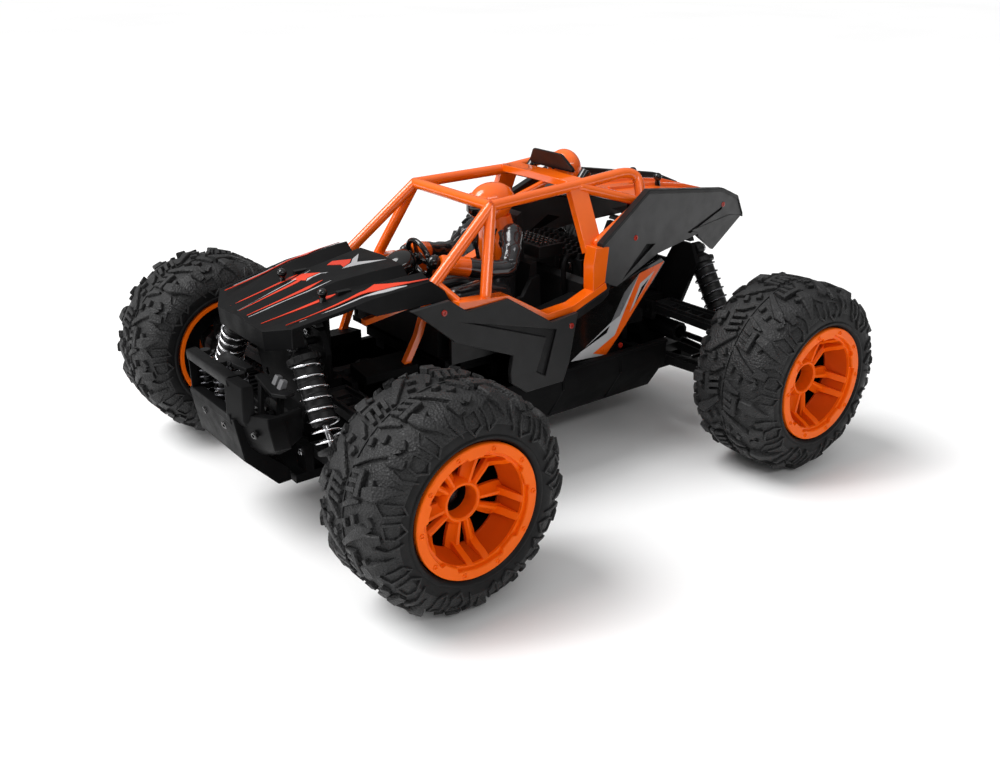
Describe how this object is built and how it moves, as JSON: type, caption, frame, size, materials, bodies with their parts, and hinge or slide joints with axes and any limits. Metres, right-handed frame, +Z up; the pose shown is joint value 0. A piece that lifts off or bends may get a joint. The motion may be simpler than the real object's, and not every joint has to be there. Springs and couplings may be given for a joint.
{
  "type": "radio-controlled monster truck",
  "caption": "Four-wheel-drive toy desert truck with an orange roll cage over a seated driver, faceted black panels, independent coil-over suspension and big knobbly tyres.",
  "frame": {"origin": "centre of the bounding box in plan, on the ground under the tyres", "axes": "+X forward, +Y to the truck's left, +Z up"},
  "size_m": [0.2924, 0.2446, 0.138],
  "materials": {
    "tyre_rubber": "matte, stippled",
    "orange_plastic": "glossy moulded",
    "body_plastic": "satin",
    "chassis_plastic": "satin",
    "spring_steel": "dark polished",
    "bright_steel": "turned",
    "suit_plastic": "painted figure",
    "battery_sleeve": "shrink sleeve"
  },
  "bodies": {
    "chassis": {"chassis_tray": "chassis_plastic", "front_gear_case": "chassis_plastic", "rear_gear_case": "chassis_plastic", "battery_pack": "battery_sleeve", "drive_motor": "bright_steel", "control_board": "chassis_plastic", "steering_servo": "chassis_plastic", "bonnet": "body_plastic", "roll_cage": "orange_plastic", "cockpit_tub": "chassis_plastic", "driver_figure": "suit_plastic", "roof_pod": "orange_plastic", "front_bumper": "chassis_plastic", "left_side_panel": "body_plastic", "right_side_panel": "body_plastic", "left_quarter_panel": "body_plastic", "right_quarter_panel": "body_plastic"},
    "front_left_lower_arm": {"front_left_lower_arm": "chassis_plastic"},
    "front_left_upper_arm": {"front_left_upper_arm": "chassis_plastic"},
    "front_left_hub": {"front_left_hub_carrier": "chassis_plastic"},
    "front_left_knuckle": {"front_left_steering_knuckle": "chassis_plastic"},
    "front_left_wheel": {"front_left_rim": "orange_plastic", "front_left_tyre": "tyre_rubber"},
    "front_left_shock_body": {"front_left_shock_body": "chassis_plastic", "front_left_shock_spring": "spring_steel"},
    "front_left_shock_shaft": {"front_left_shock_shaft": "bright_steel"},
    "front_left_drive_shaft": {"front_left_drive_shaft": "bright_steel"},
    "front_left_tie_rod": {"front_left_tie_rod": "bright_steel"},
    "front_right_lower_arm": {"front_right_lower_arm": "chassis_plastic"},
    "front_right_upper_arm": {"front_right_upper_arm": "chassis_plastic"},
    "front_right_hub": {"front_right_hub_carrier": "chassis_plastic"},
    "front_right_knuckle": {"front_right_steering_knuckle": "chassis_plastic"},
    "front_right_wheel": {"front_right_rim": "orange_plastic", "front_right_tyre": "tyre_rubber"},
    "front_right_shock_body": {"front_right_shock_body": "chassis_plastic", "front_right_shock_spring": "spring_steel"},
    "front_right_shock_shaft": {"front_right_shock_shaft": "bright_steel"},
    "front_right_drive_shaft": {"front_right_drive_shaft": "bright_steel"},
    "front_right_tie_rod": {"front_right_tie_rod": "bright_steel"},
    "rear_left_lower_arm": {"rear_left_lower_arm": "chassis_plastic"},
    "rear_left_upper_arm": {"rear_left_upper_arm": "chassis_plastic"},
    "rear_left_hub": {"rear_left_hub_carrier": "chassis_plastic"},
    "rear_left_wheel": {"rear_left_rim": "orange_plastic", "rear_left_tyre": "tyre_rubber"},
    "rear_left_shock_body": {"rear_left_shock_body": "chassis_plastic", "rear_left_shock_spring": "spring_steel"},
    "rear_left_shock_shaft": {"rear_left_shock_shaft": "bright_steel"},
    "rear_left_drive_shaft": {"rear_left_drive_shaft": "bright_steel"},
    "rear_right_lower_arm": {"rear_right_lower_arm": "chassis_plastic"},
    "rear_right_upper_arm": {"rear_right_upper_arm": "chassis_plastic"},
    "rear_right_hub": {"rear_right_hub_carrier": "chassis_plastic"},
    "rear_right_wheel": {"rear_right_rim": "orange_plastic", "rear_right_tyre": "tyre_rubber"},
    "rear_right_shock_body": {"rear_right_shock_body": "chassis_plastic", "rear_right_shock_spring": "spring_steel"},
    "rear_right_shock_shaft": {"rear_right_shock_shaft": "bright_steel"},
    "rear_right_drive_shaft": {"rear_right_drive_shaft": "bright_steel"},
    "steering_link": {"steering_link": "bright_steel"},
    "servo_horn": {"servo_horn": "chassis_plastic"},
    "centre_drive_shaft": {"centre_drive_shaft": "bright_steel"}
  },
  "joints": [
    {"name": "front_left_suspension", "type": "hinge", "parent": "chassis", "child": "front_left_lower_arm", "pos_m": [0.10025, 0.02, 0.034], "axis": [1, 0, 0], "range_deg": [0, 12], "stiffness_Nm_per_rad": 0.8, "springref_deg": -17.19},
    {"name": "front_left_upper_arm_pivot", "type": "hinge", "parent": "chassis", "child": "front_left_upper_arm", "pos_m": [0.10025, 0.02, 0.056], "axis": [1, 0, 0], "range_deg": [0, 12.1]},
    {"name": "front_left_hub_pivot", "type": "hinge", "parent": "front_left_lower_arm", "child": "front_left_hub", "pos_m": [0.10025, 0.074, 0.034], "axis": [1, 0, 0], "range_deg": [-12.1, 0]},
    {"name": "front_left_steering", "type": "hinge", "parent": "front_left_hub", "child": "front_left_knuckle", "pos_m": [0.10025, 0.084, 0.045], "axis": [0, 0, 1], "range_deg": [-25, 25]},
    {"name": "front_left_wheel_spin", "type": "hinge", "parent": "front_left_knuckle", "child": "front_left_wheel", "pos_m": [0.10025, 0.1005, 0.045], "axis": [0, 1, 0], "continuous": true},
    {"name": "front_left_shock_swing", "type": "hinge", "parent": "chassis", "child": "front_left_shock_body", "pos_m": [0.11725, 0.026, 0.084], "axis": [1, 0, 0], "range_deg": [0, 2.7]},
    {"name": "front_left_shock_stroke", "type": "slide", "parent": "front_left_shock_body", "child": "front_left_shock_shaft", "axis": [0, -0.5369, 0.8437], "range_m": [0, 0.0069], "deforming": ["front_left_shock_spring"]},
    {"name": "front_left_drive_shaft_swing", "type": "hinge", "parent": "chassis", "child": "front_left_drive_shaft", "pos_m": [0.10025, 0.03, 0.045], "axis": [1, 0, 0], "range_deg": [0, 12.1]},
    {"name": "front_left_tie_rod_swing", "type": "hinge", "parent": "steering_link", "child": "front_left_tie_rod", "pos_m": [0.08625, 0.03, 0.0511], "axis": [1, 0, 0], "range_deg": [0, 12.1]},
    {"name": "front_right_suspension", "type": "hinge", "parent": "chassis", "child": "front_right_lower_arm", "pos_m": [0.10025, -0.02, 0.034], "axis": [-1, 0, 0], "range_deg": [0, 12], "stiffness_Nm_per_rad": 0.8, "springref_deg": -17.19},
    {"name": "front_right_upper_arm_pivot", "type": "hinge", "parent": "chassis", "child": "front_right_upper_arm", "pos_m": [0.10025, -0.02, 0.056], "axis": [-1, 0, 0], "range_deg": [0, 12.1]},
    {"name": "front_right_hub_pivot", "type": "hinge", "parent": "front_right_lower_arm", "child": "front_right_hub", "pos_m": [0.10025, -0.074, 0.034], "axis": [-1, 0, 0], "range_deg": [-12.1, 0]},
    {"name": "front_right_steering", "type": "hinge", "parent": "front_right_hub", "child": "front_right_knuckle", "pos_m": [0.10025, -0.084, 0.045], "axis": [0, 0, 1], "range_deg": [-25.1, 25.1]},
    {"name": "front_right_wheel_spin", "type": "hinge", "parent": "front_right_knuckle", "child": "front_right_wheel", "pos_m": [0.10025, -0.1005, 0.045], "axis": [0, 1, 0], "continuous": true},
    {"name": "front_right_shock_swing", "type": "hinge", "parent": "chassis", "child": "front_right_shock_body", "pos_m": [0.11725, -0.026, 0.084], "axis": [-1, 0, 0], "range_deg": [0, 2.7]},
    {"name": "front_right_shock_stroke", "type": "slide", "parent": "front_right_shock_body", "child": "front_right_shock_shaft", "axis": [0, 0.5369, 0.8437], "range_m": [0, 0.0069], "deforming": ["front_right_shock_spring"]},
    {"name": "front_right_drive_shaft_swing", "type": "hinge", "parent": "chassis", "child": "front_right_drive_shaft", "pos_m": [0.10025, -0.03, 0.045], "axis": [-1, 0, 0], "range_deg": [0, 12.1]},
    {"name": "front_right_tie_rod_swing", "type": "hinge", "parent": "steering_link", "child": "front_right_tie_rod", "pos_m": [0.08625, -0.03, 0.0511], "axis": [-1, 0, 0], "range_deg": [0, 12.1]},
    {"name": "rear_left_suspension", "type": "hinge", "parent": "chassis", "child": "rear_left_lower_arm", "pos_m": [-0.09275, 0.02, 0.034], "axis": [1, 0, 0], "range_deg": [0, 12], "stiffness_Nm_per_rad": 0.8, "springref_deg": -17.19},
    {"name": "rear_left_upper_arm_pivot", "type": "hinge", "parent": "chassis", "child": "rear_left_upper_arm", "pos_m": [-0.09275, 0.02, 0.056], "axis": [1, 0, 0], "range_deg": [0, 12.1]},
    {"name": "rear_left_hub_pivot", "type": "hinge", "parent": "rear_left_lower_arm", "child": "rear_left_hub", "pos_m": [-0.09275, 0.074, 0.034], "axis": [1, 0, 0], "range_deg": [-12.1, 0]},
    {"name": "rear_left_wheel_spin", "type": "hinge", "parent": "rear_left_hub", "child": "rear_left_wheel", "pos_m": [-0.09275, 0.1005, 0.045], "axis": [0, 1, 0], "continuous": true},
    {"name": "rear_left_shock_swing", "type": "hinge", "parent": "chassis", "child": "rear_left_shock_body", "pos_m": [-0.10975, 0.026, 0.084], "axis": [1, 0, 0], "range_deg": [0, 2.7]},
    {"name": "rear_left_shock_stroke", "type": "slide", "parent": "rear_left_shock_body", "child": "rear_left_shock_shaft", "axis": [0, -0.5369, 0.8437], "range_m": [0, 0.0069], "deforming": ["rear_left_shock_spring"]},
    {"name": "rear_left_drive_shaft_swing", "type": "hinge", "parent": "chassis", "child": "rear_left_drive_shaft", "pos_m": [-0.09275, 0.03, 0.045], "axis": [1, 0, 0], "range_deg": [0, 12.1]},
    {"name": "rear_right_suspension", "type": "hinge", "parent": "chassis", "child": "rear_right_lower_arm", "pos_m": [-0.09275, -0.02, 0.034], "axis": [-1, 0, 0], "range_deg": [0, 12], "stiffness_Nm_per_rad": 0.8, "springref_deg": -17.19},
    {"name": "rear_right_upper_arm_pivot", "type": "hinge", "parent": "chassis", "child": "rear_right_upper_arm", "pos_m": [-0.09275, -0.02, 0.056], "axis": [-1, 0, 0], "range_deg": [0, 12.1]},
    {"name": "rear_right_hub_pivot", "type": "hinge", "parent": "rear_right_lower_arm", "child": "rear_right_hub", "pos_m": [-0.09275, -0.074, 0.034], "axis": [-1, 0, 0], "range_deg": [-12.1, 0]},
    {"name": "rear_right_wheel_spin", "type": "hinge", "parent": "rear_right_hub", "child": "rear_right_wheel", "pos_m": [-0.09275, -0.1005, 0.045], "axis": [0, 1, 0], "continuous": true},
    {"name": "rear_right_shock_swing", "type": "hinge", "parent": "chassis", "child": "rear_right_shock_body", "pos_m": [-0.10975, -0.026, 0.084], "axis": [-1, 0, 0], "range_deg": [0, 2.7]},
    {"name": "rear_right_shock_stroke", "type": "slide", "parent": "rear_right_shock_body", "child": "rear_right_shock_shaft", "axis": [0, 0.5369, 0.8437], "range_m": [0, 0.0069], "deforming": ["rear_right_shock_spring"]},
    {"name": "rear_right_drive_shaft_swing", "type": "hinge", "parent": "chassis", "child": "rear_right_drive_shaft", "pos_m": [-0.09275, -0.03, 0.045], "axis": [-1, 0, 0], "range_deg": [0, 12.1]},
    {"name": "steering_link_slide", "type": "slide", "parent": "chassis", "child": "steering_link", "axis": [0, 1, 0], "range_m": [-0.0062, 0.0062]},
    {"name": "servo_horn_turn", "type": "hinge", "parent": "chassis", "child": "servo_horn", "pos_m": [0.07225, 0, 0.056], "axis": [0, 0, 1], "range_deg": [-25.1, 25.1]},
    {"name": "centre_shaft_spin", "type": "hinge", "parent": "chassis", "child": "centre_drive_shaft", "pos_m": [0.00375, 0, 0.036], "axis": [1, 0, 0], "continuous": true}
  ],
  "couplings": [
    {"joint": "front_left_upper_arm_pivot", "follows": "front_left_suspension", "ratio": 1},
    {"joint": "front_left_hub_pivot", "follows": "front_left_suspension", "ratio": -1},
    {"joint": "front_left_shock_swing", "follows": "front_left_suspension", "ratio": 0.2158},
    {"joint": "front_left_shock_stroke", "follows": "front_left_suspension", "m_per_rad": 0.0328},
    {"joint": "front_left_drive_shaft_swing", "follows": "front_left_suspension", "ratio": 1},
    {"joint": "front_left_tie_rod_swing", "follows": "front_left_suspension", "ratio": 1},
    {"joint": "front_right_upper_arm_pivot", "follows": "front_right_suspension", "ratio": 1},
    {"joint": "front_right_hub_pivot", "follows": "front_right_suspension", "ratio": -1},
    {"joint": "front_right_steering", "follows": "front_left_steering", "ratio": 1},
    {"joint": "front_right_shock_swing", "follows": "front_right_suspension", "ratio": 0.2158},
    {"joint": "front_right_shock_stroke", "follows": "front_right_suspension", "m_per_rad": 0.0328},
    {"joint": "front_right_drive_shaft_swing", "follows": "front_right_suspension", "ratio": 1},
    {"joint": "front_right_tie_rod_swing", "follows": "front_right_suspension", "ratio": 1},
    {"joint": "rear_left_upper_arm_pivot", "follows": "rear_left_suspension", "ratio": 1},
    {"joint": "rear_left_hub_pivot", "follows": "rear_left_suspension", "ratio": -1},
    {"joint": "rear_left_shock_swing", "follows": "rear_left_suspension", "ratio": 0.2158},
    {"joint": "rear_left_shock_stroke", "follows": "rear_left_suspension", "m_per_rad": 0.0328},
    {"joint": "rear_left_drive_shaft_swing", "follows": "rear_left_suspension", "ratio": 1},
    {"joint": "rear_right_upper_arm_pivot", "follows": "rear_right_suspension", "ratio": 1},
    {"joint": "rear_right_hub_pivot", "follows": "rear_right_suspension", "ratio": -1},
    {"joint": "rear_right_shock_swing", "follows": "rear_right_suspension", "ratio": 0.2158},
    {"joint": "rear_right_shock_stroke", "follows": "rear_right_suspension", "m_per_rad": 0.0328},
    {"joint": "rear_right_drive_shaft_swing", "follows": "rear_right_suspension", "ratio": 1},
    {"joint": "steering_link_slide", "follows": "front_left_steering", "m_per_rad": -0.014},
    {"joint": "servo_horn_turn", "follows": "front_left_steering", "ratio": -1}
  ]
}
